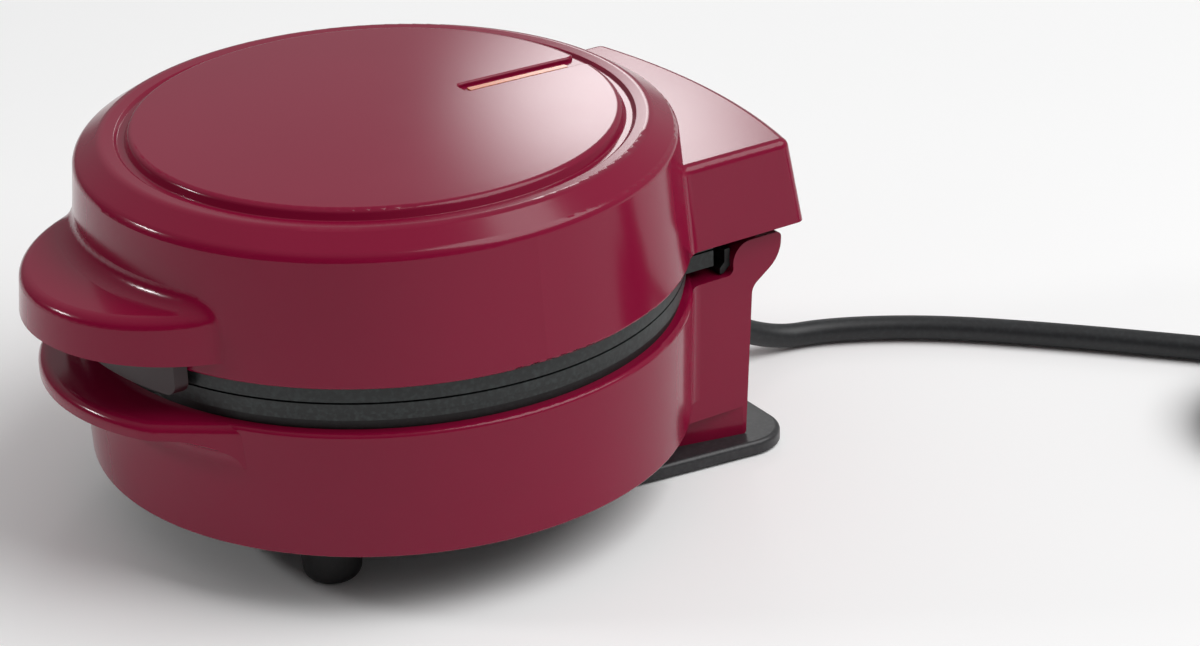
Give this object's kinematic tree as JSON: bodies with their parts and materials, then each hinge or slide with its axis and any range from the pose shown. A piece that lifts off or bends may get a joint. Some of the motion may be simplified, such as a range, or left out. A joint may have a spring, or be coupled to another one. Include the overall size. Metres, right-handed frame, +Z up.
{
  "type": "mini waffle maker",
  "caption": "Small round waffle maker with a hinged lid, a lobe handle over a base lip, coated peg plates, a rear hinge post on a flat flange and a mains lead with plug.",
  "frame": {"origin": "on the table under the middle of the closed waffle maker, its cord left out", "axes": "+Z up, -Y towards the handle, +Y towards the hinge and the cord exit, +X towards the side that the picture shows"},
  "size_m": [0.253, 0.4009, 0.1016],
  "materials": {
    "base_shell": "glossy raspberry red moulding",
    "lid_shell": "glossy raspberry red moulding",
    "guard": "dark red heat-resistant moulding",
    "lens": "clear orange lens",
    "lamp": "small neon lamp",
    "inner_plastic": "white insulating plastic",
    "frame": "black heat-resistant moulding",
    "plate_coating": "non-stick coated cast plate",
    "heater": "sheathed tube, heat-stained",
    "reflector": "plain sheet",
    "fuse": "ceramic cut-out",
    "thermostat": "plated can",
    "bottom": "black textured moulding",
    "foot_rubber": "near-black rubber",
    "flange": "dark grey moulding",
    "pin_steel": "ground steel pin",
    "screws": "zinc plated",
    "bush": "black rubber",
    "lead": "woven sleeve",
    "cord": "dark grey sheath",
    "plug": "dark grey moulded plug",
    "plug_pins": "nickel plated pins"
  },
  "bodies": {
    "base": {"base_shell": "base_shell", "lower_frame": "frame", "lower_frame_screws": "screws", "lower_plate": "plate_coating", "lower_plate_screws": "screws", "lower_heater": "heater", "lower_reflector": "reflector", "lower_reflector_screws": "screws", "thermostat": "thermostat", "thermostat_rivets": "screws", "bottom_cover": "bottom", "cover_screws": "screws", "front_foot_left": "foot_rubber", "front_foot_right": "foot_rubber", "rear_flange": "flange", "flange_screws": "screws", "flange_pads": "foot_rubber", "hinge_pin": "pin_steel", "pin_cap": "base_shell", "terminal_block": "inner_plastic", "terminal_screws": "screws", "cord_bush": "bush", "cord_clamp": "inner_plastic", "clamp_screws": "screws", "base_lead": "lead", "hinge_shield": "frame", "power_cord": "cord", "cord_coil": "cord", "plug_body": "plug", "plug_pins": "plug_pins"},
    "lid": {"lid_shell": "lid_shell", "handle_cover": "guard", "handle_screws": "screws", "lens_strip": "lens", "pilot_lamp": "lamp", "lamp_holder": "inner_plastic", "lid_frame": "frame", "lid_frame_screws": "screws", "upper_plate": "plate_coating", "upper_plate_screws": "screws", "upper_heater": "heater", "upper_reflector": "reflector", "upper_reflector_screws": "screws", "thermal_fuse": "fuse", "fuse_clip": "reflector", "lid_lead": "lead"}
  },
  "joints": [
    {"name": "lid_hinge", "type": "hinge", "parent": "base", "child": "lid", "pos_m": [0, 0.0823, 0.0545], "axis": [-1, 0, 0], "range_deg": [0, 95]}
  ]
}
